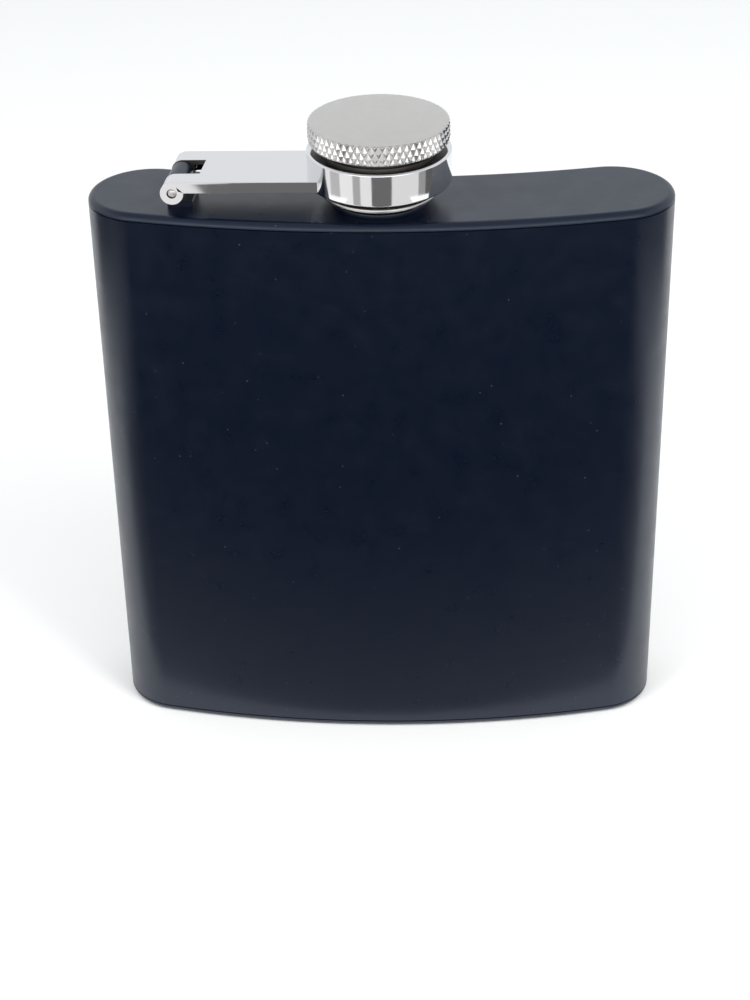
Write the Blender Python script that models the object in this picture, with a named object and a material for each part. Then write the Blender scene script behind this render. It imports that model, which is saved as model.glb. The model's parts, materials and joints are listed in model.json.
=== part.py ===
"""Hip flask: a flat, curved steel body whose screw cap is held captive on a hinged arm.

Run with blender --background --python part.py. Metres, +Z up. The flask stands on Z = 0 with its bowed
front towards -Y. The arm's hinge is near the -X end, and the neck is half way along the top.
Heights in the neck, hinge and cap are measured up from the flat top of the body.
"""

import math

import bmesh
import bpy

# Body, seen from above: two long arcs joined by round ends that sweep back
WIDTH = 0.095
BODY_HEIGHT = 0.098
MID_DEPTH = 0.020
END_RADIUS = 0.00985
END_SWEEP = 0.0042
SHEET = 0.0005
RIM_RADIUS = 0.0011
PLATE_FLANGE = 0.003
BASE_LAND = 0.004
BASE_RECESS = 0.0005

# Clearances between pieces
SEAM = 0.0003
PIN_PLAY = 0.0001

# Screw thread, the same pitch on the neck and in the cap
PITCH = 0.002
THREAD_ROWS_PER_PITCH = 6

# Neck
NECK_BORE = 0.0060
NECK_ROOT = 0.0068
NECK_CREST = 0.0074
NECK_TOP = 0.00775
NECK_TAIL = 0.0016
NECK_FLANGE = 0.0078
FLANGE_THICKNESS = 0.0006
NECK_THREAD_START = 0.0021
NECK_THREAD_END = 0.0070

# Hinge. The pin is slanted so that the arm, once opened, follows the swept-back end of the body
ARM_REACH = 0.0319
PIN_HEIGHT = 0.0040
PIN_SLANT = math.radians(5.5)
PIN_RADIUS = 0.0007
KNUCKLE_RADIUS = 0.00185
ARM_WIDTH = 0.0129
ARM_SHEET = 0.0008
ARM_SIDE = 0.0018
NOTCH_WIDTH = 0.0055
NOTCH_LENGTH = 0.0038
BRACKET_SHEET = 0.0008
BRACKET_FOOT = 0.0024
BRACKET_PLAY = 0.0004

# Collar, the drawn ring that carries the cap
COLLAR_RADIUS = 0.01155
COLLAR_BOTTOM = 0.0037
COLLAR_TOP = 0.00915
COLLAR_EDGE = 0.0004
COLLAR_SHEET = 0.0008
COLLAR_HOLE = 0.0092

# Cap: knob, threaded insert and seal
KNOB_RADIUS = 0.0113
KNOB_BOTTOM = 0.01035
KNOB_TOP = 0.0138
KNOB_DOME = 0.0002
KNOB_EDGE = 0.0003
SPIGOT_RADIUS = 0.0040
SPIGOT_LENGTH = 0.0009
SKIRT_RADIUS = 0.0089
INSERT_TOP = KNOB_BOTTOM - SEAM
INSERT_CEILING = 0.0092
LIP_RADIUS = 0.0095
LIP_BOTTOM = 0.0017
LIP_HEIGHT = 0.0008
CAP_ROOT = 0.0084
CAP_CREST = 0.00785
CAP_THREAD_START = 0.0026
CAP_THREAD_END = 0.0077
SEAL_RADIUS = CAP_ROOT - SEAM
SEAL_BOTTOM = NECK_TOP + SEAM
SEAL_TOP = INSERT_CEILING - SEAM

# Facets
ARC_STEPS = 14
END_STEPS = 16
RIM_STEPS = 4
TURN_STEPS = 36
SMOOTH_ANGLE = math.radians(35)

# Front to back, the origin is half way between the collar and the swept-back ends
NECK_Y = (COLLAR_RADIUS - END_SWEEP - END_RADIUS) / 2


def clear_scene():
    for obj in list(bpy.data.objects):
        bpy.data.objects.remove(obj, do_unlink=True)


def metal(name, colour, roughness, metallic):
    material = bpy.data.materials.new(name)
    material.use_nodes = True
    shader = material.node_tree.nodes["Principled BSDF"]
    shader.inputs["Base Color"].default_value = (*colour, 1.0)
    shader.inputs["Roughness"].default_value = roughness
    shader.inputs["Metallic"].default_value = metallic
    return material


def empty(name, location, parent=None, turn=0.0):
    obj = bpy.data.objects.new(name, None)
    obj.location = location
    obj.rotation_euler.z = turn
    obj.parent = parent
    bpy.context.scene.collection.objects.link(obj)
    return obj


def add_object(name, bm, material=None, parent=None, location=(0, 0, 0)):
    """Turns a closed bmesh into an object with its normals out and its round faces smooth."""
    bmesh.ops.remove_doubles(bm, verts=bm.verts, dist=1e-7)
    bmesh.ops.recalc_face_normals(bm, faces=bm.faces)
    mesh = bpy.data.meshes.new(name)
    bm.to_mesh(mesh)
    bm.free()
    mesh.shade_smooth()
    mesh.set_sharp_from_angle(angle=SMOOTH_ANGLE)
    obj = bpy.data.objects.new(name, mesh)
    if material:
        mesh.materials.append(material)
    obj.parent = parent
    obj.location = location
    bpy.context.scene.collection.objects.link(obj)
    return obj


def boolean(obj, operation, tool):
    """Joins or cuts obj with another object, which is then only a helper."""
    modifier = obj.modifiers.new(tool.name, "BOOLEAN")
    modifier.operation = operation
    modifier.object = tool
    tool.hide_render = True
    tool.display_type = "WIRE"


def round_edges(obj, width, segments=2):
    modifier = obj.modifiers.new("rounded_edges", "BEVEL")
    modifier.width = width
    modifier.segments = segments
    modifier.limit_method = "ANGLE"
    modifier.angle_limit = math.radians(60)


def arc(centre, radius, start, end, steps):
    """Points along an arc, with its first end and without its last."""
    angles = (start + (end - start) * i / steps for i in range(steps))
    return [(centre[0] + radius * math.cos(a), centre[1] + radius * math.sin(a)) for a in angles]


def plan(inset=0.0):
    """The body's outline from above, this far inside its outer face.

    The long arcs pass through the middle's front and back, and touch the end circles.
    """
    end_x = WIDTH / 2 - END_RADIUS
    half = MID_DEPTH / 2
    reach = end_x**2 + END_SWEEP**2 - (half - END_RADIUS) ** 2
    front_centre = reach / (2 * (END_SWEEP + half - END_RADIUS))
    back_centre = reach / (2 * (END_SWEEP - half + END_RADIUS))
    front_angle = math.atan2(END_SWEEP - front_centre, end_x)
    back_angle = math.atan2(back_centre - END_SWEEP, -end_x)
    end_radius = END_RADIUS - inset
    front_radius = front_centre + half - inset
    back_radius = back_centre - half + inset

    front = arc((0, front_centre), front_radius, -math.pi - front_angle, front_angle, ARC_STEPS)
    right = arc((end_x, END_SWEEP), end_radius, front_angle, back_angle, END_STEPS)
    back = arc((0, back_centre), back_radius, back_angle - math.pi, -back_angle, ARC_STEPS)
    left = arc((-end_x, END_SWEEP), end_radius, math.pi - back_angle, math.pi - front_angle, END_STEPS)
    return [(x, y + NECK_Y) for x, y in front + right + back + left]


def skin(sections, closed):
    """Skins the body's outline through (inset, height) sections, back to the first or with end caps."""
    bm = bmesh.new()
    rings = [[bm.verts.new((x, y, height)) for x, y in plan(inset)] for inset, height in sections]
    pairs = list(zip(rings, rings[1:]))
    if closed:
        pairs.append((rings[-1], rings[0]))
    else:
        bm.faces.new(rings[0])
        bm.faces.new(rings[-1])
    for first, second in pairs:
        for i in range(len(first)):
            bm.faces.new((first[i - 1], first[i], second[i], second[i - 1]))
    return bm


def rim_sections(flat, inward):
    """The rounded rim of an end plate, from the body's side round to its flat face.

    inward is -1 for the top plate, whose material lies below its face, and 1 for the base.
    """
    angles = [math.pi / 2 * i / RIM_STEPS for i in range(RIM_STEPS + 1)]
    return [
        (RIM_RADIUS * (1 - math.cos(a)), flat + inward * RIM_RADIUS * (1 - math.sin(a)))
        for a in angles
    ]


def plate_sections(flat, inward, thickness):
    """An end plate from its inner face, down its flange that lines the sleeve, to its outer face."""
    flange_end = flat + inward * (RIM_RADIUS + PLATE_FLANGE)
    shoulder = flat + inward * RIM_RADIUS
    outer, inner = SHEET + SEAM, 2 * SHEET + SEAM
    return [
        (inner, flat + inward * thickness),
        (inner, flange_end),
        (outer, flange_end),
        (outer, shoulder),
        *rim_sections(flat, inward),
    ]


def turned(profile, closed):
    """Spins an outline of (radius, height) points about Z. A closed outline makes a ring."""
    bm = bmesh.new()
    verts = [bm.verts.new((radius, 0, height)) for radius, height in profile]
    edges = [bm.edges.new(pair) for pair in zip(verts, verts[1:])]
    if closed:
        edges.append(bm.edges.new((verts[-1], verts[0])))
    bmesh.ops.spin(
        bm,
        geom=verts + edges,
        cent=(0, 0, 0),
        axis=(0, 0, 1),
        angle=2 * math.pi,
        steps=TURN_STEPS,
        use_merge=True,
    )
    return bm


def thread_heights(start, end):
    """Evenly spaced heights for the rows of a thread, both ends included."""
    rows = round((end - start) / PITCH * THREAD_ROWS_PER_PITCH)
    return [start + (end - start) * i / rows for i in range(rows + 1)]


def cut_thread(bm, radius, crest, start, end):
    """Moves the plain wall of this radius into a right-hand thread with rounded crests.

    The thread fades in and out over half a pitch at its ends.
    """
    for vert in bm.verts:
        x, y, z = vert.co
        here = math.hypot(x, y)
        if abs(here - radius) > 1e-5 or not start < z < end:
            continue
        phase = 2 * math.pi * z / PITCH - math.atan2(y, x)
        fade = min(1.0, 2 * min(z - start, end - z) / PITCH)
        wave = (1 + math.cos(phase)) / 2
        moved = radius + (crest - radius) * wave * fade
        vert.co.x, vert.co.y = x * moved / here, y * moved / here


def cylinder(name, radius, length, location=(0, 0, 0), parent=None):
    bm = bmesh.new()
    bmesh.ops.create_cone(
        bm,
        cap_ends=True,
        segments=TURN_STEPS,
        radius1=radius,
        radius2=radius,
        depth=length,
    )
    return add_object(name, bm, parent=parent, location=location)


def crosswise(name, outline, width, parent, slant=0.0):
    """A prism from front to back with an (x, z) outline. A slant shifts it along X as it runs in Y."""
    bm = bmesh.new()
    ends = []
    for y in (-width / 2, width / 2):
        ends.append([bm.verts.new((x + y * math.tan(slant), y, z)) for x, z in outline])
        bm.faces.new(ends[-1])
    front, back = ends
    for i in range(len(outline)):
        bm.faces.new((front[i - 1], front[i], back[i], back[i - 1]))
    return add_object(name, bm, parent=parent)


def circle(radius):
    return arc((0, 0), radius, 0, 2 * math.pi, TURN_STEPS)


def block(name, low, high, parent=None):
    """A box between two corners, in the parent's frame."""
    bm = bmesh.new()
    bmesh.ops.create_cube(bm, size=1)
    for vert in bm.verts:
        vert.co = [a if side < 0 else b for side, a, b in zip(vert.co, low, high)]
    return add_object(name, bm, parent=parent)


def make_sleeve(material):
    """The wall of the body, rolled from one sheet."""
    low, high = RIM_RADIUS + SEAM, BODY_HEIGHT - RIM_RADIUS - SEAM
    sections = [(0, low), (0, high), (SHEET, high), (SHEET, low)]
    add_object("body_sleeve", skin(sections, closed=True), material)


def make_base(material):
    """The base plate, standing on a flat land round a shallow recess."""
    sections = plate_sections(0.0, 1, BASE_RECESS + SHEET)
    sections += [(BASE_LAND, 0.0), (BASE_LAND + BASE_RECESS, BASE_RECESS)]
    add_object("base_plate", skin(sections, closed=False), material)


def make_top(material):
    """The top plate, with the hole that the neck is welded into."""
    plate = skin(plate_sections(BODY_HEIGHT, -1, SHEET), closed=False)
    top = add_object("top_plate", plate, material)
    hole = cylinder(
        "neck_hole",
        NECK_ROOT + SEAM,
        8 * SHEET,
        location=(0, NECK_Y, BODY_HEIGHT),
    )
    boolean(top, "DIFFERENCE", hole)


def make_neck(material, parent):
    """The spout: a tube through the top plate, with a weld flange and a rolled outer thread."""
    rim = (NECK_ROOT - NECK_BORE) / 2
    mouth = [
        (NECK_BORE + rim * (1 + math.cos(a)), NECK_TOP - rim + rim * math.sin(a))
        for a in (math.pi * i / RIM_STEPS for i in range(1, RIM_STEPS))
    ]
    flange_top = SEAM + FLANGE_THICKNESS
    profile = [
        (NECK_BORE, -NECK_TAIL),
        (NECK_ROOT, -NECK_TAIL),
        (NECK_ROOT, SEAM),
        (NECK_FLANGE, SEAM),
        (NECK_FLANGE, flange_top),
        (NECK_ROOT, flange_top),
        *[(NECK_ROOT, z) for z in thread_heights(NECK_THREAD_START, NECK_THREAD_END)],
        (NECK_ROOT, NECK_TOP - rim),
        *mouth,
        (NECK_BORE, NECK_TOP - rim),
    ]
    bm = turned(profile, closed=True)
    cut_thread(bm, NECK_ROOT, NECK_CREST, NECK_THREAD_START, NECK_THREAD_END)
    add_object("neck", bm, material, parent)


def make_bracket(material, parent):
    """The hinge's fixed half: a strip welded flat to the top, bent up and curled round the pin."""
    half = NOTCH_WIDTH / 2 - BRACKET_PLAY
    radius = KNUCKLE_RADIUS - PIN_PLAY
    foot_low, foot_high = SEAM - PIN_HEIGHT, SEAM + BRACKET_SHEET - PIN_HEIGHT
    bracket = block("hinge_bracket", (-radius, -half, foot_low), (BRACKET_FOOT, half, foot_high), parent)
    bracket.data.materials.append(material)
    leg = block("bracket_leg", (-radius, -half, foot_low), (BRACKET_SHEET - radius, half, 0), parent)
    curl = crosswise("bracket_curl", circle(radius), 2 * half, parent)
    bore = crosswise("bracket_bore", circle(PIN_RADIUS + PIN_PLAY), 4 * half, parent)
    boolean(bracket, "UNION", leg)
    boolean(bracket, "UNION", curl)
    boolean(bracket, "DIFFERENCE", bore)


def make_pin(material, parent):
    """The hinge pin, flush with the sides of the arm and rounded at its ends."""
    pin = crosswise("hinge_pin", circle(PIN_RADIUS), ARM_WIDTH, parent)
    pin.data.materials.append(material)
    round_edges(pin, PIN_RADIUS / 4)


def make_arm(material, parent):
    """The arm: a channel pressed from sheet, whose end is curled into two knuckles round the pin.

    The notch between the knuckles has its sides along the arm and its end along the pin.
    """
    half = ARM_WIDTH / 2
    top, bottom = KNUCKLE_RADIUS, KNUCKLE_RADIUS - ARM_SIDE
    arm = block("hinge_arm", (KNUCKLE_RADIUS / 2, -half, bottom), (ARM_REACH, half, top), parent)
    arm.data.materials.append(material)
    hollow = block(
        "arm_hollow",
        (0, ARM_SHEET - half, -top),
        (2 * ARM_REACH, half - ARM_SHEET, top - ARM_SHEET),
        parent,
    )
    web = [(0, top - ARM_SHEET), (NOTCH_LENGTH, top - ARM_SHEET), (NOTCH_LENGTH, top), (0, top)]
    web_end = crosswise("arm_web_end", web, ARM_WIDTH, parent, PIN_SLANT)
    knuckles = crosswise("arm_knuckles", circle(KNUCKLE_RADIUS), ARM_WIDTH, parent, PIN_SLANT)
    reach = NOTCH_LENGTH
    opening = [(-reach, -reach), (reach, -reach), (reach, reach), (-reach, reach)]
    notch = crosswise("arm_notch", opening, NOTCH_WIDTH, parent, PIN_SLANT)
    bore = crosswise("arm_bore", circle(PIN_RADIUS + PIN_PLAY), 2 * ARM_WIDTH, parent, PIN_SLANT)
    seat = cylinder("collar_seat", COLLAR_RADIUS + SEAM, 4 * ARM_SIDE, (ARM_REACH, 0, 0), parent)
    boolean(arm, "DIFFERENCE", hollow)
    boolean(arm, "UNION", web_end)
    boolean(arm, "UNION", knuckles)
    boolean(arm, "DIFFERENCE", notch)
    boolean(arm, "DIFFERENCE", bore)
    boolean(arm, "DIFFERENCE", seat)


def make_collar(material, parent):
    """The collar: a drawn ring, open below, whose top turns in to hold the cap's skirt."""
    outer_edge = [
        (
            COLLAR_RADIUS - COLLAR_EDGE * (1 - math.cos(a)),
            COLLAR_TOP - COLLAR_EDGE * (1 - math.sin(a)),
        )
        for a in (math.pi / 2 * i / RIM_STEPS for i in range(RIM_STEPS + 1))
    ]
    profile = [
        (COLLAR_RADIUS - COLLAR_SHEET, COLLAR_BOTTOM),
        (COLLAR_RADIUS, COLLAR_BOTTOM),
        *outer_edge,
        (COLLAR_HOLE, COLLAR_TOP),
        (COLLAR_HOLE, COLLAR_TOP - COLLAR_SHEET),
        (COLLAR_RADIUS - COLLAR_SHEET, COLLAR_TOP - COLLAR_SHEET),
    ]
    add_object("cap_collar", turned(profile, closed=True), material, parent, (ARM_REACH, 0, -PIN_HEIGHT))


def make_knob(material, parent):
    """The knob that the fingers turn, with a spigot that is peened into the insert."""
    profile = [
        (0, KNOB_TOP),
        (KNOB_RADIUS / 2, KNOB_TOP - KNOB_DOME / 4),
        (KNOB_RADIUS - KNOB_EDGE, KNOB_TOP - KNOB_DOME),
        (KNOB_RADIUS, KNOB_TOP - KNOB_DOME - KNOB_EDGE),
        (KNOB_RADIUS, KNOB_BOTTOM + KNOB_EDGE),
        (KNOB_RADIUS - KNOB_EDGE, KNOB_BOTTOM),
        (SPIGOT_RADIUS, KNOB_BOTTOM),
        (SPIGOT_RADIUS, KNOB_BOTTOM - SPIGOT_LENGTH),
        (0, KNOB_BOTTOM - SPIGOT_LENGTH),
    ]
    add_object("cap_knob", turned(profile, closed=False), material, parent)


def make_insert(material, parent):
    """The threaded insert: a cup over the neck, whose bottom lip keeps the collar on."""
    lip_top = LIP_BOTTOM + LIP_HEIGHT
    lip_edge = LIP_RADIUS - LIP_HEIGHT / 4
    thread = thread_heights(CAP_THREAD_START, CAP_THREAD_END)
    profile = [
        (SPIGOT_RADIUS + SEAM, INSERT_CEILING),
        (CAP_ROOT, INSERT_CEILING),
        *[(CAP_ROOT, z) for z in reversed(thread)],
        (CAP_ROOT, LIP_BOTTOM),
        (lip_edge, LIP_BOTTOM),
        (LIP_RADIUS, LIP_BOTTOM + LIP_HEIGHT / 4),
        (LIP_RADIUS, lip_top - LIP_HEIGHT / 4),
        (lip_edge, lip_top),
        (SKIRT_RADIUS, lip_top),
        (SKIRT_RADIUS, INSERT_TOP),
        (SPIGOT_RADIUS + SEAM, INSERT_TOP),
    ]
    bm = turned(profile, closed=True)
    cut_thread(bm, CAP_ROOT, CAP_CREST, CAP_THREAD_START, CAP_THREAD_END)
    add_object("cap_insert", bm, material, parent)


def make_seal(material, parent):
    """The soft disc between the cap and the rim of the neck."""
    profile = [(0, SEAL_BOTTOM), (SEAL_RADIUS, SEAL_BOTTOM), (SEAL_RADIUS, SEAL_TOP), (0, SEAL_TOP)]
    add_object("seal_disc", turned(profile, closed=False), material, parent)


def main():
    clear_scene()
    coat = metal("matte_black_coat", (0.012, 0.014, 0.019), 0.45, 0.0)
    bright = metal("polished_steel", (0.80, 0.79, 0.78), 0.08, 1.0)
    satin = metal("satin_steel", (0.72, 0.71, 0.70), 0.28, 1.0)
    silicone = metal("clear_silicone", (0.86, 0.86, 0.83), 0.40, 0.0)

    neck_axis = empty("neck_axis", (0, NECK_Y, BODY_HEIGHT))
    pin_axis = empty("pin_axis", (-ARM_REACH, NECK_Y, BODY_HEIGHT + PIN_HEIGHT), turn=-PIN_SLANT)
    arm_pivot = empty("arm_pivot", (0, 0, 0), pin_axis, turn=PIN_SLANT)
    cap_axis = empty("cap_axis", (ARM_REACH, 0, -PIN_HEIGHT), arm_pivot)

    make_sleeve(coat)
    make_base(coat)
    make_top(coat)
    make_neck(satin, neck_axis)
    make_bracket(coat, pin_axis)
    make_pin(satin, pin_axis)
    make_arm(bright, arm_pivot)
    make_collar(bright, arm_pivot)
    make_seal(silicone, cap_axis)
    make_insert(satin, cap_axis)
    make_knob(satin, cap_axis)


main()
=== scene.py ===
"""The looks of a hip flask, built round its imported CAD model.

Lengths are in metres. Places and outer sizes come from the frame's boxes, so each piece here covers its CAD
node. What the boxes don't say, such as a sheet's thickness or a hidden bore, is a named value below.
"""

import json
import math

import bmesh
import bpy
from mathutils import Matrix, Vector


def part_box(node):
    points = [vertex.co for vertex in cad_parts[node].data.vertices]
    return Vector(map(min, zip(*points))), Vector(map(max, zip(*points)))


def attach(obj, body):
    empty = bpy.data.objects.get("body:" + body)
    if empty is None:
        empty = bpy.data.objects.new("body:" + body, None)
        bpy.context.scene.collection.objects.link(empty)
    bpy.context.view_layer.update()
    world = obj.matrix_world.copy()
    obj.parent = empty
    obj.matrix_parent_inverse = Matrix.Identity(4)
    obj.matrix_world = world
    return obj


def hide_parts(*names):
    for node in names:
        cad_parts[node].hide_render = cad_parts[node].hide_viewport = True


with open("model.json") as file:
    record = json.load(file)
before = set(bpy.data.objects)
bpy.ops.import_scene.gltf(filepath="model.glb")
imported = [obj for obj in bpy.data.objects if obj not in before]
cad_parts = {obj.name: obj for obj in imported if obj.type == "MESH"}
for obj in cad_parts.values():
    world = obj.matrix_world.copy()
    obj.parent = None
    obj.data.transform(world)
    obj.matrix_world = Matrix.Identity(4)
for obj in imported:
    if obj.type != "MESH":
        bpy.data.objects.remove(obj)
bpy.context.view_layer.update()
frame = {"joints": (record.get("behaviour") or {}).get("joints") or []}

# Body shell
SHEET = 0.0005
END_RADIUS = 0.00985
RIM_RADIUS = 0.0011
RIM_BORDER = 0.00012
PLATE_FLANGE = 0.003
SEAM_WIDTH = 0.00020
SEAM_DEPTH = 0.00020
BASE_LAND = 0.004
BASE_RECESS = 0.0005
BASE_EASE = 0.0002

# Thread, and the neck and cap that carry it
PITCH = 0.002
NECK_BORE = 0.0060
NECK_ROOT = 0.0068
NECK_CREST = 0.0074
NECK_SLACK = 0.00003
NECK_THREAD_FOOT = 0.0021
NECK_THREAD_TOP = 0.00075
FLANGE_HEIGHT = 0.0009
CAP_ROOT = 0.0084
CAP_CREST = 0.00785
CAP_THREAD_FOOT = 0.0009
CAP_THREAD_TOP = 0.0015

# Hinge and arm
KNUCKLE_RADIUS = 0.00185
PIN_RADIUS = 0.0007
PIN_PLAY = 0.0001
PIN_DOME = 0.00022
ARM_SHEET = 0.0008
ARM_SIDE = 0.0018
ARM_EDGE = 0.00022
ARM_OVERLAP = 0.00005
NOTCH_WIDTH = 0.0055
NOTCH_LENGTH = 0.0038
CURL_GAP = [(0.00078, 0.00112), (0.00182, 0.00012), (0.00100, 0.00040)]
BRACKET_SHEET = 0.0008
BRACKET_FOOT = 0.0024
BRACKET_EDGE = 0.00012
BRACKET_BEND = 0.0003
BRACKET_PLAY = 0.0004

# Collar and cap
COLLAR_SHEET = 0.0008
COLLAR_HOLE = 0.0092
COLLAR_EDGE = 0.0004
SKIRT_RADIUS = 0.0089
SPIGOT_RADIUS = 0.0040
LIP_HEIGHT = 0.0008
CUP_ROOF = 0.00075
WAIST_RISE = 0.0003
KNOB_DOME = 0.0002
KNOB_EDGE = 0.0003
KNURL_COUNT = 61
KNURL_LENGTH = 0.0021
KNURL_DEPTH = 0.00036
KNURL_FLAT = 0.06

# Edges that the turned pieces share
FINE_EDGE = 0.0002
ROLLED_EDGE = 0.00035

# Mesh detail
CUT_MARGIN = 0.001
TURN_STEPS = 192
ARC_STEPS = 96
END_STEPS = 64
RIM_STEPS = 8
PIN_STEPS = 48
CURL_STEPS = 56
DOME_STEPS = 24
THREAD_STEPS = 24
KNURL_STEPS = 14
KNURL_ROWS = 30
SMOOTH_ANGLE = math.radians(32)
BEVEL_ANGLE = math.radians(40)


def middle(node):
    low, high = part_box(node)
    return (low + high) / 2


NECK = middle("neck")
NECK_AXIS = Vector((NECK.x, NECK.y, 0))
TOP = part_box("top_plate")[1].z
HALF_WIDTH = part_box("body_sleeve")[1].x
HALF_DEPTH = NECK.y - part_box("body_sleeve")[0].y
END_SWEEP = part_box("body_sleeve")[1].y - NECK.y - END_RADIUS
JOINTS = {joint["name"]: joint for joint in frame["joints"]}
PIN = Vector(JOINTS["arm_hinge"]["pos_m"])
PIN_AXIS = Vector(JOINTS["arm_hinge"]["axis"])
SLANT = PIN_AXIS.x / PIN_AXIS.y


# Meshes


def link_mesh(name, bm, material=None):
    """An object made from a bmesh, which is freed."""
    mesh = bpy.data.meshes.new(name)
    bm.to_mesh(mesh)
    bm.free()
    if material:
        mesh.materials.append(material)
    obj = bpy.data.objects.new(name, mesh)
    bpy.context.scene.collection.objects.link(obj)
    return obj


def smooth(mesh):
    """Smooth shading that keeps the sharp edges."""
    mesh.shade_smooth()
    mesh.set_sharp_from_angle(angle=SMOOTH_ANGLE)


def new_object(name, bm, material, body, node=None):
    """A finished piece: it rides on a body, and stands for a CAD node if one is named."""
    bmesh.ops.remove_doubles(bm, verts=bm.verts, dist=1e-8)
    bmesh.ops.recalc_face_normals(bm, faces=bm.faces)
    obj = link_mesh(name, bm, material)
    smooth(obj.data)
    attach(obj, body)
    if node:
        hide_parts(node)
    return obj


def apply_modifiers(obj):
    """Bakes the object's modifiers into its own mesh."""
    graph = bpy.context.evaluated_depsgraph_get()
    mesh = bpy.data.meshes.new_from_object(obj.evaluated_get(graph))
    old = obj.data
    obj.modifiers.clear()
    obj.data = mesh
    bpy.data.meshes.remove(old)


def combine(obj, steps):
    """Applies Booleans in turn. Each step is an operation and a bmesh, in world space."""
    tools = []
    for operation, bm in steps:
        bmesh.ops.recalc_face_normals(bm, faces=bm.faces)
        tool = link_mesh("tool", bm)
        modifier = obj.modifiers.new("combine", "BOOLEAN")
        modifier.operation = operation
        modifier.object = tool
        tools.append(tool)
    apply_modifiers(obj)
    for tool in tools:
        bpy.data.objects.remove(tool)


def soften(obj, width, segments=3):
    """Rounds the sharp edges and keeps the flat faces flat to the light."""
    bevel = obj.modifiers.new("edges", "BEVEL")
    bevel.width = width
    bevel.segments = segments
    bevel.limit_method = "ANGLE"
    bevel.angle_limit = BEVEL_ANGLE
    bevel.use_clamp_overlap = True
    bevel.harden_normals = False
    weights = obj.modifiers.new("normals", "WEIGHTED_NORMAL")
    weights.keep_sharp = True
    apply_modifiers(obj)


def arc(centre, radius, start, end, steps, closed=False):
    """Points along an arc from its first end, with its last end only if closed."""
    count = steps + 1 if closed else steps
    angles = (start + (end - start) * i / steps for i in range(count))
    return [(centre[0] + radius * math.cos(a), centre[1] + radius * math.sin(a)) for a in angles]


def rounded(corners, steps=5):
    """A closed outline from (side, height, fillet) corners, with each fillet as an arc."""
    points = []
    for i, (side, height, fillet) in enumerate(corners):
        here = Vector((side, height))
        if not fillet:
            points.append(here)
            continue
        before = (Vector(corners[i - 1][:2]) - here).normalized()
        after = (Vector(corners[(i + 1) % len(corners)][:2]) - here).normalized()
        half = before.angle(after) / 2
        centre = here + (before + after).normalized() * fillet / math.sin(half)
        start = here + before * fillet / math.tan(half) - centre
        turn = start.angle_signed(here + after * fillet / math.tan(half) - centre)
        for k in range(steps + 1):
            points.append(centre + Matrix.Rotation(-turn * k / steps, 2) @ start)
    return [(p.x, p.y) for p in points]


def neighbours(rings, closed):
    """Each ring with the next one, and the last with the first if closed."""
    pairs = list(zip(rings, rings[1:]))
    if closed:
        pairs.append((rings[-1], rings[0]))
    return pairs


def turned(profile, axis, steps=TURN_STEPS, closed=True):
    """Spins a (radius, height) outline about a vertical axis.

    An outline that isn't closed starts and ends on the axis.
    """
    bm = bmesh.new()
    angles = [2 * math.pi * i / steps for i in range(steps)]
    rings = []
    for radius, height in profile:
        if radius == 0:
            rings.append([bm.verts.new((axis.x, axis.y, height))])
            continue
        rings.append([
            bm.verts.new((axis.x + radius * math.cos(a), axis.y + radius * math.sin(a), height))
            for a in angles
        ])
    for first, second in neighbours(rings, closed):
        for i in range(steps):
            one_side = [first[i - 1], first[i]] if len(first) > 1 else first
            other_side = [second[i], second[i - 1]] if len(second) > 1 else second
            bm.faces.new(one_side + other_side)
    return bm


def drum(radius, low_z, high_z, axis):
    """A round solid about a vertical axis."""
    profile = [(0, low_z), (radius, low_z), (radius, high_z), (0, high_z)]
    return turned(profile, axis, closed=False)


def plan(inset=0.0):
    """The body's outline from above, this far inside its outer face."""
    end_x = HALF_WIDTH - END_RADIUS
    reach = end_x**2 + END_SWEEP**2 - (HALF_DEPTH - END_RADIUS) ** 2
    front_centre = reach / (2 * (END_SWEEP + HALF_DEPTH - END_RADIUS))
    back_centre = reach / (2 * (END_SWEEP - HALF_DEPTH + END_RADIUS))
    front_angle = math.atan2(END_SWEEP - front_centre, end_x)
    back_angle = math.atan2(back_centre - END_SWEEP, -end_x)
    end_radius = END_RADIUS - inset
    front_radius = front_centre + HALF_DEPTH - inset
    back_radius = back_centre - HALF_DEPTH + inset
    front = arc((0, front_centre), front_radius, -math.pi - front_angle, front_angle, ARC_STEPS)
    right = arc((end_x, END_SWEEP), end_radius, front_angle, back_angle, END_STEPS)
    back = arc((0, back_centre), back_radius, back_angle - math.pi, -back_angle, ARC_STEPS)
    left = arc((-end_x, END_SWEEP), end_radius, math.pi - back_angle, math.pi - front_angle, END_STEPS)
    return [(x, y + NECK.y) for x, y in front + right + back + left]


def skin(sections, closed):
    """Skins the body's outline through (inset, height) sections, back to the first or with end caps."""
    bm = bmesh.new()
    rings = [[bm.verts.new((x, y, height)) for x, y in plan(inset)] for inset, height in sections]
    if not closed:
        bm.faces.new(rings[0])
        bm.faces.new(rings[-1])
    for first, second in neighbours(rings, closed):
        for i in range(len(first)):
            bm.faces.new((first[i - 1], first[i], second[i], second[i - 1]))
    return bm


def block(low, high):
    """A box between two corners."""
    bm = bmesh.new()
    bmesh.ops.create_cube(bm, size=1)
    for vert in bm.verts:
        vert.co = [a if side < 0 else b for side, a, b in zip(vert.co, low, high)]
    return bm


def across(outline, low_y, high_y, slant=0.0):
    """A prism along Y with an (x, z) outline, which a slant shifts along X on either side of the pin."""
    bm = bmesh.new()
    near = [bm.verts.new((x + (low_y - PIN.y) * slant, low_y, z)) for x, z in outline]
    far = [bm.verts.new((x + (high_y - PIN.y) * slant, high_y, z)) for x, z in outline]
    bm.faces.new(near)
    bm.faces.new(far)
    for i in range(len(outline)):
        bm.faces.new((near[i - 1], near[i], far[i], far[i - 1]))
    return bm


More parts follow.
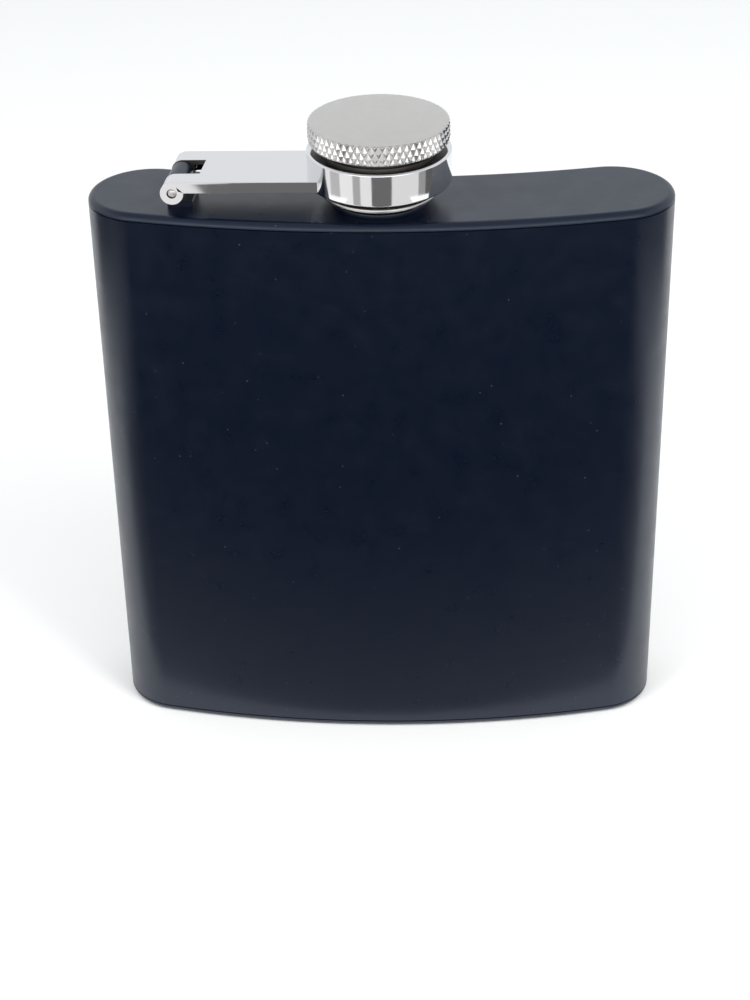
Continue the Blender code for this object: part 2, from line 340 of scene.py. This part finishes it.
def rod_across(radius, low_y, high_y, slant=0.0, steps=72):
    """A round rod about the pin."""
    return across(arc((PIN.x, PIN.z), radius, 0, 2 * math.pi, steps), low_y, high_y, slant)


def turn_to_pin(bm):
    """Turns a shape made square to the arm, about the vertical through the pin, to lie along the pin."""
    turn = Matrix.Rotation(-math.atan(SLANT), 3, "Z")
    bmesh.ops.rotate(bm, verts=bm.verts, cent=PIN, matrix=turn)
    return bm


def from_axis(place, axis):
    """How far a place is from a vertical axis."""
    return math.hypot(place.x - axis.x, place.y - axis.y)


def bearing(place, axis):
    """The angle of a place round a vertical axis."""
    return math.atan2(place.y - axis.y, place.x - axis.x)


def move_to_radius(vert, axis, radius):
    """Moves a vertex straight out or in, level, to this distance from a vertical axis."""
    scale = radius / from_axis(vert.co, axis)
    vert.co.x = axis.x + (vert.co.x - axis.x) * scale
    vert.co.y = axis.y + (vert.co.y - axis.y) * scale


def cut_thread(bm, axis, radius, crest, start, end):
    """Moves the plain wall of this radius into a right-hand thread that fades in and out at its ends.

    The thread is a wave with flat crests and roots.
    """
    for vert in bm.verts:
        height = vert.co.z
        if abs(from_axis(vert.co, axis) - radius) > 1e-6 or not start < height < end:
            continue
        phase = 2 * math.pi * (height - TOP) / PITCH - bearing(vert.co, axis)
        fade = min(1.0, 2 * min(height - start, end - height) / PITCH)
        wave = min(1.0, max(0.0, 0.5 + 0.75 * math.cos(phase)))
        move_to_radius(vert, axis, radius + (crest - radius) * wave * fade)


def steps_between(start, end, pitch):
    """Evenly spaced values, both ends included, no further apart than pitch."""
    count = math.ceil(abs(end - start) / pitch)
    return [start + (end - start) * i / count for i in range(count + 1)]


# Materials


def principled(name, slot, colour, roughness, metallic=0.0, **sockets):
    """A Principled material; the slot argument is not used. More sockets are named with _ for each space.
    """
    material = bpy.data.materials.new(name)
    material.use_nodes = True
    shader = material.node_tree.nodes["Principled BSDF"]
    shader.inputs["Base Color"].default_value = (*colour, 1.0)
    shader.inputs["Roughness"].default_value = roughness
    shader.inputs["Metallic"].default_value = metallic
    for socket, value in sockets.items():
        shader.inputs[socket.replace("_", " ")].default_value = value
    return material


def noise(material, scale, detail=2.0, stretch=(1, 1, 1)):
    """Noise in the object's own space, with features about 1/scale metres across."""
    nodes, links = material.node_tree.nodes, material.node_tree.links
    place = nodes.new("ShaderNodeTexCoord")
    mapping = nodes.new("ShaderNodeMapping")
    mapping.inputs["Scale"].default_value = stretch
    texture = nodes.new("ShaderNodeTexNoise")
    texture.inputs["Scale"].default_value = scale
    texture.inputs["Detail"].default_value = detail
    links.new(place.outputs["Object"], mapping.inputs["Vector"])
    links.new(mapping.outputs["Vector"], texture.inputs["Vector"])
    return texture.outputs["Fac"]


def ranged(material, value, low, high, from_low=0.0, from_high=1.0):
    """Maps a value onto another range."""
    node = material.node_tree.nodes.new("ShaderNodeMapRange")
    for socket, number in (
        ("From Min", from_low),
        ("From Max", from_high),
        ("To Min", low),
        ("To Max", high),
    ):
        node.inputs[socket].default_value = number
    material.node_tree.links.new(value, node.inputs["Value"])
    return node.outputs["Result"]


def combined(material, operation, first, second):
    """Works out one value from two."""
    node = material.node_tree.nodes.new("ShaderNodeMath")
    node.operation = operation
    for value, socket in zip((first, second), node.inputs):
        material.node_tree.links.new(value, socket)
    return node.outputs["Value"]


def bump(material, height, distance, strength=1.0):
    """Adds a bump of this depth on top of any that the material has."""
    nodes, links = material.node_tree.nodes, material.node_tree.links
    shader = nodes["Principled BSDF"]
    node = nodes.new("ShaderNodeBump")
    node.inputs["Distance"].default_value = distance
    node.inputs["Strength"].default_value = strength
    links.new(height, node.inputs["Height"])
    if shader.inputs["Normal"].is_linked:
        links.new(shader.inputs["Normal"].links[0].from_socket, node.inputs["Normal"])
    links.new(node.outputs["Normal"], shader.inputs["Normal"])


def vary(material, socket, value):
    """Drives one socket of the shader with a value that changes over the surface."""
    shader = material.node_tree.nodes["Principled BSDF"]
    material.node_tree.links.new(value, shader.inputs[socket])


def vary_roughness(material, scale, detail, low, high):
    """Spreads the usual span of a noise over this range of roughness."""
    value = noise(material, scale, detail)
    vary(material, "Roughness", ranged(material, value, low, high, 0.3, 0.7))


def speckle(material, colour, speck_colour, spacing, radius):
    """Scatters small specks, such as dust, over a plain colour."""
    nodes, links = material.node_tree.nodes, material.node_tree.links
    place = nodes.new("ShaderNodeTexCoord")
    cells = nodes.new("ShaderNodeTexVoronoi")
    cells.inputs["Scale"].default_value = 1 / spacing
    links.new(place.outputs["Object"], cells.inputs["Vector"])
    inside = ranged(material, cells.outputs["Distance"], 1.0, 0.0, 0.6 * radius / spacing, radius / spacing)
    mix = nodes.new("ShaderNodeMix")
    mix.data_type = "RGBA"
    mix.inputs["A"].default_value = (*colour, 1.0)
    mix.inputs["B"].default_value = (*speck_colour, 1.0)
    links.new(inside, mix.inputs["Factor"])
    vary(material, "Base Color", mix.outputs["Result"])


def coat_material():
    """Matte black powder coat: a fine grain over a faint orange peel, with a little dust."""
    colour, dust = (0.0014, 0.0040, 0.0125), (0.075, 0.08, 0.09)
    shine = {"Specular_IOR_Level": 0.68, "Specular_Tint": (0.80, 0.87, 1.0, 1.0)}
    material = principled("powder_coat", "coat", colour, 0.40, **shine)
    speckle(material, colour, dust, spacing=0.0024, radius=0.00012)
    bump(material, noise(material, 1100, 1.0), distance=0.00002, strength=0.4)
    bump(material, noise(material, 5200, 1.0), distance=0.000006, strength=0.4)
    vary_roughness(material, 260, 3.0, 0.27, 0.35)
    return material


def polished_material():
    """Mirror-polished steel with the faint haze of buffing."""
    material = principled("polished_metal", "polished_steel", (0.83, 0.82, 0.83), 0.06, metallic=1.0)
    vary_roughness(material, 500, 4.0, 0.04, 0.09)
    bump(material, noise(material, 170, 2.0), distance=0.00003, strength=0.5)
    return material


def satin_material():
    """Satin steel, with a fine brushed grain."""
    material = principled("satin_metal", "satin_steel", (0.68, 0.655, 0.63), 0.32, metallic=1.0)
    vary_roughness(material, 900, 4.0, 0.28, 0.38)
    brushed = noise(material, 2600, 3.0, stretch=(0.12, 1, 1))
    bump(material, brushed, distance=0.000004, strength=0.3)
    return material


def knurled_material():
    """The rolled knurl, which is brighter on its facets than the satin top."""
    material = principled("knurled_metal", "satin_steel", (0.74, 0.72, 0.71), 0.20, metallic=1.0)
    vary_roughness(material, 2000, 3.0, 0.14, 0.26)
    return material


def painted_shade_material():
    """Painted shade: steel coloured nearly black where shade falls, inside the arm's channel and notch,
    round the cap's waist and under the knob.
    """
    material = principled("painted_shade_metal", "satin_steel", (0.13, 0.12, 0.11), 0.42, metallic=1.0)
    vary_roughness(material, 700, 4.0, 0.36, 0.52)
    return material


def silicone_material():
    """The pale, slightly translucent seal."""
    depth = {"Subsurface_Weight": 0.4, "Subsurface_Scale": 0.001}
    material = principled("soft_silicone", "silicone", (0.80, 0.80, 0.77), 0.38, **depth)
    bump(material, noise(material, 1500, 2.0), distance=0.00001, strength=0.3)
    return material


# Pieces


def rim(flat, inward):
    """The rounded rim of an end plate as (inset, height) sections, from the side to the flat face."""
    angles = (math.pi / 2 * i / RIM_STEPS for i in range(RIM_STEPS + 1))
    sections = [
        (RIM_RADIUS * (1 - math.cos(a)), flat + inward * RIM_RADIUS * (1 - math.sin(a)))
        for a in angles
    ]
    return [*sections, (RIM_RADIUS + RIM_BORDER, flat)]


def plate(flat, inward, thickness):
    """An end plate, from its inner face down its flange and up over its rim."""
    flange_end = flat + inward * (RIM_RADIUS + PLATE_FLANGE)
    shoulder = flat + inward * RIM_RADIUS
    outer, inner = SHEET, 2 * SHEET
    return [
        (inner + RIM_RADIUS, flat + inward * thickness),
        (inner, flat + inward * (thickness + RIM_RADIUS)),
        (inner, flange_end),
        (outer, flange_end),
        (outer, shoulder + inward * SEAM_WIDTH / 2),
        (SEAM_DEPTH, shoulder + inward * SEAM_WIDTH / 2),
        *rim(flat, inward),
    ]


def make_body(coat):
    """The shell: a rolled sleeve between two pressed plates, all under one coat."""
    low, high = RIM_RADIUS, TOP - RIM_RADIUS
    sections = [
        (0, low + SEAM_WIDTH),
        (0, high - SEAM_WIDTH),
        (SEAM_DEPTH, high - SEAM_WIDTH / 2),
        (SHEET, high - SEAM_WIDTH / 2),
        (SHEET, low + SEAM_WIDTH / 2),
        (SEAM_DEPTH, low + SEAM_WIDTH / 2),
    ]
    new_object("sleeve", skin(sections, closed=True), coat, "flask", "body_sleeve")

    base = plate(0.0, 1, BASE_RECESS + SHEET)
    base += [
        (BASE_LAND - BASE_EASE, 0.0),
        (BASE_LAND, BASE_EASE / 4),
        (BASE_LAND + BASE_RECESS, BASE_RECESS - BASE_EASE / 4),
        (BASE_LAND + BASE_RECESS + BASE_EASE, BASE_RECESS),
    ]
    new_object("base", skin(base, closed=False), coat, "flask", "base_plate")

    top = new_object("top", skin(plate(TOP, -1, SHEET), closed=False), coat, "flask", "top_plate")
    combine(top, [("DIFFERENCE", drum(NECK_ROOT, TOP - 5 * SHEET, TOP + 5 * SHEET, NECK_AXIS))])
    smooth(top.data)
    top.modifiers.new("normals", "WEIGHTED_NORMAL").keep_sharp = True
    apply_modifiers(top)


def make_neck(satin, coat):
    """The spout, bare from the thread up, and the coated flange that is welded round its foot."""
    low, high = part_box("neck")
    wall = (NECK_ROOT - NECK_BORE) / 2
    start, end = TOP + NECK_THREAD_FOOT, high.z - NECK_THREAD_TOP
    profile = [
        (NECK_BORE, low.z),
        (NECK_ROOT - NECK_SLACK, low.z),
        (NECK_ROOT - NECK_SLACK, start - FINE_EDGE),
        *[(NECK_ROOT, z) for z in steps_between(start, end, PITCH / THREAD_STEPS)],
        (NECK_ROOT - NECK_SLACK / 3, high.z - wall),
        *arc((NECK_ROOT - wall, high.z - wall), wall, 0.3, math.pi, 8),
        (NECK_BORE, high.z - wall),
    ]
    bm = turned(profile, NECK_AXIS)
    cut_thread(bm, NECK_AXIS, NECK_ROOT, NECK_CREST, start, end)
    new_object("neck_tube", bm, satin, "flask", "neck")

    radius = high.x
    flange_top = TOP + FLANGE_HEIGHT
    flange = rounded([
        (NECK_ROOT, TOP, 0),
        (radius, TOP, FINE_EDGE / 2),
        (radius, flange_top, ROLLED_EDGE),
        (NECK_ROOT, flange_top, 0),
    ])
    new_object("neck_flange", turned(flange, NECK_AXIS), coat, "flask")


def make_bracket(coat):
    """The fixed half of the hinge: a strip that rises from its foot and curls round the pin."""
    half = NOTCH_WIDTH / 2 - BRACKET_PLAY
    low_y, high_y = PIN.y - half, PIN.y + half
    outer = KNUCKLE_RADIUS - PIN_PLAY
    inner = outer - BRACKET_SHEET
    foot_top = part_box("hinge_bracket")[0].z + BRACKET_SHEET
    foot = rounded([
        (PIN.x - outer, TOP, 0),
        (PIN.x + BRACKET_FOOT, TOP, 0),
        (PIN.x + BRACKET_FOOT, foot_top, BRACKET_BEND),
        (PIN.x - inner, foot_top, BRACKET_BEND),
        (PIN.x - inner, PIN.z, 0),
        (PIN.x - outer, PIN.z, 0),
    ])
    strip = turn_to_pin(across(foot, low_y, high_y))
    bracket = new_object("bracket", strip, coat, "flask", "hinge_bracket")
    curl = turn_to_pin(rod_across(outer, low_y, high_y))
    bore_start, bore_end = low_y - CUT_MARGIN, high_y + CUT_MARGIN
    bore = turn_to_pin(rod_across(PIN_RADIUS + PIN_PLAY, bore_start, bore_end))
    combine(bracket, [("UNION", curl), ("DIFFERENCE", bore)])
    soften(bracket, BRACKET_EDGE, 2)


def make_pin(satin):
    """The hinge pin, with lightly domed ends."""
    low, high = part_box("hinge_arm")
    length = high.y - low.y
    domed = [(0, 0), (0.55, 0.15), (0.85, 0.5), (1, 1)]
    profile = [(PIN_RADIUS * out, PIN_DOME * along) for out, along in domed]
    profile += [(radius, length - z) for radius, z in reversed(profile)]
    bm = turned(profile, Vector((0, 0, 0)), PIN_STEPS, closed=False)
    bmesh.ops.rotate(bm, verts=bm.verts, matrix=Matrix.Rotation(-math.pi / 2, 3, "X"))
    bmesh.ops.translate(bm, verts=bm.verts, vec=(PIN.x, low.y, PIN.z))
    return new_object("pin", turn_to_pin(bm), satin, "lid_arm", "hinge_pin")


def make_arm(polished, painted_shade):
    """The arm: a pressed channel whose sheet curls into two knuckles at the hinge."""
    low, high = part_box("hinge_arm")
    collar = middle("cap_collar")
    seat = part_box("cap_collar")[1].x - collar.x - ARM_OVERLAP
    bottom = PIN.z + KNUCKLE_RADIUS - ARM_SIDE
    below, above = bottom - CUT_MARGIN, high.z + CUT_MARGIN
    sweep = math.asin((bottom - PIN.z) / KNUCKLE_RADIUS)
    curl = arc((PIN.x, PIN.z), KNUCKLE_RADIUS, math.pi / 2, 2 * math.pi + sweep, CURL_STEPS, closed=True)
    outline = [(collar.x, high.z), *curl, (collar.x, bottom)]
    arm = new_object("arm", across(outline, low.y, high.y, SLANT), polished, "lid_arm", "hinge_arm")

    web = high.z - ARM_SHEET
    inside = [
        (PIN.x + KNUCKLE_RADIUS, below),
        (collar.x + CUT_MARGIN, below),
        (collar.x + CUT_MARGIN, web),
        (PIN.x + KNUCKLE_RADIUS, web),
    ]
    notch_start, notch_end = PIN.x - 2 * KNUCKLE_RADIUS, PIN.x + NOTCH_LENGTH
    notch_low = PIN.z - 2 * KNUCKLE_RADIUS
    notch = [(notch_start, notch_low), (notch_end, notch_low), (notch_end, above), (notch_start, above)]
    combine(arm, [
        ("DIFFERENCE", across(inside, low.y + ARM_SHEET, high.y - ARM_SHEET, SLANT)),
        ("DIFFERENCE", across(notch, NECK.y - NOTCH_WIDTH / 2, NECK.y + NOTCH_WIDTH / 2, SLANT)),
        ("DIFFERENCE", drum(seat, below, above, collar)),
    ])
    soften(arm, ARM_EDGE)

    wedge = [(PIN.x + x, PIN.z + z) for x, z in CURL_GAP]
    cut_start, cut_end = low.y - CUT_MARGIN, high.y + CUT_MARGIN
    combine(arm, [
        ("DIFFERENCE", across(wedge, cut_start, cut_end, SLANT)),
        ("DIFFERENCE", rod_across(PIN_RADIUS + PIN_PLAY, cut_start, cut_end, SLANT, PIN_STEPS)),
    ])

    # Painted shade: the faces inside the channel and the notch that don't face up get the near-black steel.
    arm.data.materials.append(painted_shade)
    inner_y = high.y - PIN.y - ARM_SHEET + ARM_EDGE
    for part in arm.data.polygons:
        x, z, aside = part.center.x, part.center.z, abs(part.center.y - PIN.y)
        in_channel = x > PIN.x + KNUCKLE_RADIUS / 2 and z < web + ARM_EDGE / 4 and aside < inner_y
        in_notch = x < notch_end + 2 * ARM_EDGE and aside < NOTCH_WIDTH / 2 + ARM_EDGE
        part.material_index = 1 if (in_channel or in_notch) and part.normal.z < 0.5 else 0
    return arm


def make_collar(polished):
    """The collar: a drawn ring, open below, that turns in at the top."""
    low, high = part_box("cap_collar")
    axis = (low + high) / 2
    radius = high.x - axis.x
    inner = radius - COLLAR_SHEET
    profile = rounded([
        (inner, low.z, FINE_EDGE),
        (radius, low.z, ROLLED_EDGE),
        (radius, high.z, COLLAR_EDGE),
        (COLLAR_HOLE, high.z, FINE_EDGE),
        (COLLAR_HOLE, high.z - COLLAR_SHEET, FINE_EDGE),
        (inner, high.z - COLLAR_SHEET, FINE_EDGE),
    ], RIM_STEPS)
    return new_object("collar", turned(profile, axis), polished, "lid_arm", "cap_collar")


def make_insert(satin, painted_shade):
    """The threaded cup inside the collar, with the lip that keeps the collar on."""
    low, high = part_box("cap_insert")
    axis = (low + high) / 2
    lip = high.x - axis.x
    lip_top = low.z + LIP_HEIGHT
    ceiling = high.z - CUP_ROOF
    waist_top = high.z + WAIST_RISE
    start, end = low.z + CAP_THREAD_FOOT, ceiling - CAP_THREAD_TOP
    profile = rounded([
        (SPIGOT_RADIUS, ceiling, 0),
        (CAP_ROOT, ceiling, 0.0003),
        (CAP_ROOT, end, 0),
    ])
    profile += [(CAP_ROOT, z) for z in steps_between(end, start, PITCH / THREAD_STEPS)]
    profile += rounded([
        (CAP_ROOT, low.z, FINE_EDGE),
        (lip, low.z, ROLLED_EDGE),
        (lip, lip_top, ROLLED_EDGE),
        (SKIRT_RADIUS, lip_top, FINE_EDGE),
        (SKIRT_RADIUS, waist_top, 0),
        (SPIGOT_RADIUS, waist_top, 0),
    ])
    bm = turned(profile, axis)
    cut_thread(bm, axis, CAP_ROOT, CAP_CREST, start, end)
    # Painted shade: the waist above the lip, in the shade under the knob, gets the near-black steel.
    for part in bm.faces:
        centre = part.calc_center_median()
        outside = from_axis(centre, axis) > (CAP_ROOT + SKIRT_RADIUS) / 2
        part.material_index = 1 if outside and centre.z > lip_top else 0
    insert = new_object("insert", bm, satin, "cap", "cap_insert")
    insert.data.materials.append(painted_shade)
    return insert


def make_seal(silicone):
    """The soft disc up inside the cap, which presses on the neck's rim."""
    low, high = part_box("seal_disc")
    axis = (low + high) / 2
    radius = high.x - axis.x
    profile = rounded([
        (0, low.z, 0),
        (radius, low.z, FINE_EDGE),
        (radius, high.z, FINE_EDGE),
        (0, high.z, 0),
    ])
    new_object("seal", turned(profile, axis, closed=False), silicone, "seal", "seal_disc")


def knurl(radius, low_z, angle, z):
    """How far out the knurled surface stands: crossed grooves that leave pointed diamonds."""
    around = angle / (2 * math.pi) * KNURL_COUNT
    along = (z - low_z) / KNURL_LENGTH
    groove = min(abs(2 * ((around + along) % 1) - 1), abs(2 * ((around - along) % 1) - 1))
    height = min(1.0, groove / (1 - KNURL_FLAT))
    return radius - KNURL_DEPTH * (1 - height)


def make_knob(satin, knurled, painted_shade):
    """The knob: a low dome with a rounded edge, and a diamond knurl round its rim."""
    low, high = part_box("cap_knob")
    axis = (low + high) / 2
    radius = high.x - axis.x
    shoulder = high.z - KNOB_DOME
    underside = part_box("cap_insert")[1].z + WAIST_RISE
    face = radius - KNOB_EDGE
    crown = (face**2 + KNOB_DOME**2) / (2 * KNOB_DOME)
    dome = [
        (x, high.z - crown + math.sqrt(crown**2 - x**2))
        for x in (face * math.sin(math.pi / 2 * i / DOME_STEPS) for i in range(DOME_STEPS + 1))
    ]
    rows = steps_between(shoulder - KNOB_EDGE, underside + KNOB_EDGE, KNURL_LENGTH / KNURL_ROWS)
    profile = [
        *dome,
        *arc((face, shoulder - KNOB_EDGE), KNOB_EDGE, math.radians(75), 0, 5),
        *[(radius, z) for z in rows],
        (face, underside),
        (SPIGOT_RADIUS, underside),
        (SPIGOT_RADIUS, low.z),
        (0, low.z),
    ]
    bm = turned(profile, axis, KNURL_COUNT * KNURL_STEPS, closed=False)
    for vert in bm.verts:
        here = from_axis(vert.co, axis)
        if here > face and vert.co.z < shoulder:
            wanted = knurl(radius, underside, bearing(vert.co, axis), vert.co.z)
            move_to_radius(vert, axis, min(here, wanted))
    # Painted shade: the knob's underside gets the near-black steel; the knurl gets the knurled metal.
    for part in bm.faces:
        centre = part.calc_center_median()
        if centre.z < underside + KNOB_EDGE / 4:
            part.material_index = 2
        elif centre.z < shoulder - KNOB_EDGE / 2 and from_axis(centre, axis) > face - KNURL_DEPTH:
            part.material_index = 1
    knob = new_object("knob", bm, satin, "cap", "cap_knob")
    knob.data.materials.append(knurled)
    knob.data.materials.append(painted_shade)
    return knob


# Studio


CAMERA_DISTANCE = 0.3728
CAMERA_ELEVATION = math.radians(31.57)
CAMERA_YAW = math.radians(-2.21)
CAMERA_ROLL = math.radians(1.17)
CAMERA_TARGET = Vector((0.0, NECK.y, 0.0516))
CAMERA_LEFT = 0.00177
CAMERA_DOWN = 0.00848
CAMERA_LENS = 78.4

TABLE_COLOUR = (0.92, 0.92, 0.905, 1.0)
TABLE_ROUGHNESS = 0.55
TABLE_RADIUS = 4.0

# The world's light: the walls, the ceiling, the side in front, and a glow low down in front
ROOM_WALL = 0.90
ROOM_CEILING = 0.45
ROOM_FRONT = 0.80
ROOM_TINT = (0.94, 0.97, 1.0)
HORIZON_GLOW = 1.3

# Each softbox: name, place, target, size and watts
SOFTBOXES = [
    ("overhead", (0.0, -0.12, 0.9), (0, 0.02, 0), (0.8, 0.7), 2.6),
    ("left_softbox", (-0.45, -0.40, 0.55), (0, 0, 0.03), (0.30, 0.30), 2.2),
    ("right_softbox", (0.45, -0.40, 0.55), (0, 0, 0.03), (0.30, 0.30), 3.3),
]

# The near card lies before the flask, solid far off and clearest at the edge nearest to the flask
NEAR_HALF_WIDTH = 0.16
NEAR_SOLID_Y = -0.095
NEAR_EDGE_Y = -0.014
NEAR_CLEAR = 0.6
NEAR_LOW = 0.0008
NEAR_HIGH = 0.001

# The far card is a half ring outside the near one
RING_INNER = 0.212
RING_OUTER = 0.60
RING_OVERLAP = 0.03
RING_HEIGHT = 0.0015
RING_STEPS = 96
RING_HALF_SWEEP = 112

# Both cards' stripes: where each starts, in degrees from straight in front, and its grey
STRIPE_BLUR = 0.8
STRIPES = [
    (-112, 0.90),
    (-98, 0.03),
    (-90, 0.90),
    (-80, 0.55),
    (-62, 0.95),
    (-40, 0.45),
    (-28, 0.90),
    (-10.5, 0.16),
    (20, 0.82),
    (64, 0.35),
    (77, 0.12),
    (93, 0.90),
]


def make_camera():
    """Looks down on the front, a little to one side and slightly rolled."""
    forward_flat = Vector((math.sin(CAMERA_YAW), math.cos(CAMERA_YAW), 0))
    up_axis = Vector((0, 0, 1))
    forward = math.cos(CAMERA_ELEVATION) * forward_flat - math.sin(CAMERA_ELEVATION) * up_axis
    right = Vector((math.cos(CAMERA_YAW), -math.sin(CAMERA_YAW), 0))
    up = right.cross(forward)
    place = CAMERA_TARGET - CAMERA_DISTANCE * forward - CAMERA_LEFT * right - CAMERA_DOWN * up
    rolled_right = math.cos(CAMERA_ROLL) * right - math.sin(CAMERA_ROLL) * up
    rolled_up = math.sin(CAMERA_ROLL) * right + math.cos(CAMERA_ROLL) * up
    camera = bpy.data.objects.new("camera", bpy.data.cameras.new("camera"))
    camera.data.lens = CAMERA_LENS
    camera.data.clip_start = 0.01
    rotation = Matrix((rolled_right, rolled_up, -forward)).transposed()
    camera.matrix_world = Matrix.Translation(place) @ rotation.to_4x4()
    bpy.context.scene.collection.objects.link(camera)
    bpy.context.scene.camera = camera


def make_table():
    """The white table top that the flask stands on."""
    material = bpy.data.materials.new("table_top")
    material.use_nodes = True
    shader = material.node_tree.nodes["Principled BSDF"]
    shader.inputs["Base Color"].default_value = TABLE_COLOUR
    shader.inputs["Roughness"].default_value = TABLE_ROUGHNESS
    bm = bmesh.new()
    bmesh.ops.create_circle(bm, cap_ends=True, radius=TABLE_RADIUS, segments=96)
    floor = link_mesh("table", bm, material)


def world_position(nodes, links):
    """The X, Y and Z sockets of a point's place in the room."""
    place = nodes.new("ShaderNodeNewGeometry")
    split = nodes.new("ShaderNodeSeparateXYZ")
    links.new(place.outputs["Position"], split.inputs["Vector"])
    return split.outputs


def striped_material(name, fading):
    """Grey stripes side by side that give light, each at its own bearing from the flask.

    A fading one turns clear towards the flask.
    """
    material = bpy.data.materials.new(name)
    material.use_nodes = True
    nodes, links = material.node_tree.nodes, material.node_tree.links
    nodes.remove(nodes["Principled BSDF"])
    place = world_position(nodes, links)
    backward = nodes.new("ShaderNodeMath")
    backward.operation = "MULTIPLY"
    backward.inputs[1].default_value = -1.0
    links.new(place["Y"], backward.inputs[0])
    angle = combined(material, "ARCTAN2", place["X"], backward.outputs["Value"])

    half = math.radians(RING_HALF_SWEEP)
    ramp = nodes.new("ShaderNodeValToRGB")
    stops = ramp.color_ramp.elements
    ends = [start for start, grey in STRIPES[1:]] + [RING_HALF_SWEEP]
    for (start, grey), end in zip(STRIPES, ends):
        for edge in (start + STRIPE_BLUR, end - STRIPE_BLUR):
            stop = stops.new((edge + RING_HALF_SWEEP) / (2 * RING_HALF_SWEEP))
            stop.color = (grey, grey, grey, 1.0)
    stops.remove(stops[0])
    stops.remove(stops[-1])
    glow = nodes.new("ShaderNodeEmission")
    links.new(ranged(material, angle, 0.0, 1.0, -half, half), ramp.inputs["Fac"])
    links.new(ramp.outputs["Color"], glow.inputs["Color"])
    surface = glow.outputs["Emission"]
    if fading:
        clear = nodes.new("ShaderNodeBsdfTransparent")
        mix = nodes.new("ShaderNodeMixShader")
        fade = ranged(material, place["Y"], 0.0, NEAR_CLEAR, NEAR_SOLID_Y, NEAR_EDGE_Y)
        links.new(fade, mix.inputs["Fac"])
        links.new(surface, mix.inputs[1])
        links.new(clear.outputs["BSDF"], mix.inputs[2])
        surface = mix.outputs["Shader"]
    links.new(surface, nodes["Material Output"].inputs["Surface"])
    return material


def half_ring():
    """A flat half ring, just above the table, round the front of the flask."""
    half = math.radians(RING_HALF_SWEEP)
    angles = [half * (2 * i / RING_STEPS - 1) for i in range(RING_STEPS + 1)]
    bm = bmesh.new()
    inner, outer = [
        [bm.verts.new((radius * math.sin(a), -radius * math.cos(a), RING_HEIGHT)) for a in angles]
        for radius in (RING_INNER, RING_OUTER)
    ]
    for i in range(RING_STEPS):
        bm.faces.new((inner[i], outer[i], outer[i + 1], inner[i + 1]))
    return bm


def add_card(name, bm, material):
    """A card that only reflections see."""
    card = link_mesh(name, bm, material)
    card.visible_camera = False
    card.visible_diffuse = False
    card.visible_shadow = False
    card.visible_transmission = False
    return card


def make_stripes(metal_pieces):
    """Two striped cards on the table in front, for the metal pieces to mirror.

    They give their light to the metal alone. In the coat's soft reflection they are dark.
    """
    low = (-NEAR_HALF_WIDTH, -RING_INNER - RING_OVERLAP, NEAR_LOW)
    high = (NEAR_HALF_WIDTH, NEAR_EDGE_Y, NEAR_HIGH)
    cards = [
        add_card("near_card", block(low, high), striped_material("near_stripes", fading=True)),
        add_card("far_card", half_ring(), striped_material("far_stripes", fading=False)),
    ]
    receivers = bpy.data.collections.new("metal_pieces")
    for piece in metal_pieces:
        receivers.objects.link(piece)
    for card in cards:
        card.light_linking.receiver_collection = receivers


def make_softbox(name, place, target, size, watts):
    """A rectangular light that reflections don't show."""
    light = bpy.data.lights.new(name, "AREA")
    light.shape = "RECTANGLE"
    light.size, light.size_y = size
    light.energy = watts
    obj = bpy.data.objects.new(name, light)
    obj.location = place
    obj.rotation_euler = (Vector(target) - Vector(place)).to_track_quat("-Z", "Y").to_euler()
    obj.visible_glossy = False
    bpy.context.scene.collection.objects.link(obj)


def make_world():
    """A pale room, dimmer in front and darkest overhead, with a glow low down in front.

    The limits are parts of a direction's Z, up, and of its Y, which is below zero in front.
    """
    world = bpy.data.worlds.new("studio")
    world.use_nodes = True
    nodes, links = world.node_tree.nodes, world.node_tree.links
    place = nodes.new("ShaderNodeTexCoord")
    split = nodes.new("ShaderNodeSeparateXYZ")
    links.new(place.outputs["Generated"], split.inputs["Vector"])
    overhead = ranged(world, split.outputs["Z"], ROOM_WALL, ROOM_CEILING, 0.55, 0.85)
    front = ranged(world, split.outputs["Y"], ROOM_FRONT, 1.0, -0.7, 0.1)
    low_band = ranged(world, split.outputs["Z"], 1.0, 0.0, 0.24, 0.36)
    ahead = ranged(world, split.outputs["Y"], HORIZON_GLOW, 0.0, -0.80, -0.50)
    level = combined(world, "MULTIPLY", overhead, front)
    glow = combined(world, "MULTIPLY", low_band, ahead)
    nodes["Background"].inputs["Color"].default_value = (*ROOM_TINT, 1.0)
    links.new(combined(world, "ADD", level, glow), nodes["Background"].inputs["Strength"])
    bpy.context.scene.world = world


def make_studio(metal_pieces):
    """The table, the light and the camera. Only the metal pieces see the striped cards' light."""
    make_camera()
    make_table()
    make_world()
    for softbox in SOFTBOXES:
        make_softbox(*softbox)
    make_stripes(metal_pieces)
    bpy.context.scene.view_settings.view_transform = "Standard"


def main():
    coat = coat_material()
    polished = polished_material()
    satin = satin_material()
    knurled = knurled_material()
    # Near-black steel as painted shade for the recesses and the undersides.
    painted_shade = painted_shade_material()
    silicone = silicone_material()
    make_body(coat)
    make_neck(satin, coat)
    make_bracket(coat)
    make_seal(silicone)
    make_studio([
        make_pin(satin),
        make_arm(polished, painted_shade),
        make_collar(polished),
        make_insert(satin, painted_shade),
        make_knob(satin, knurled, painted_shade),
    ])


main()
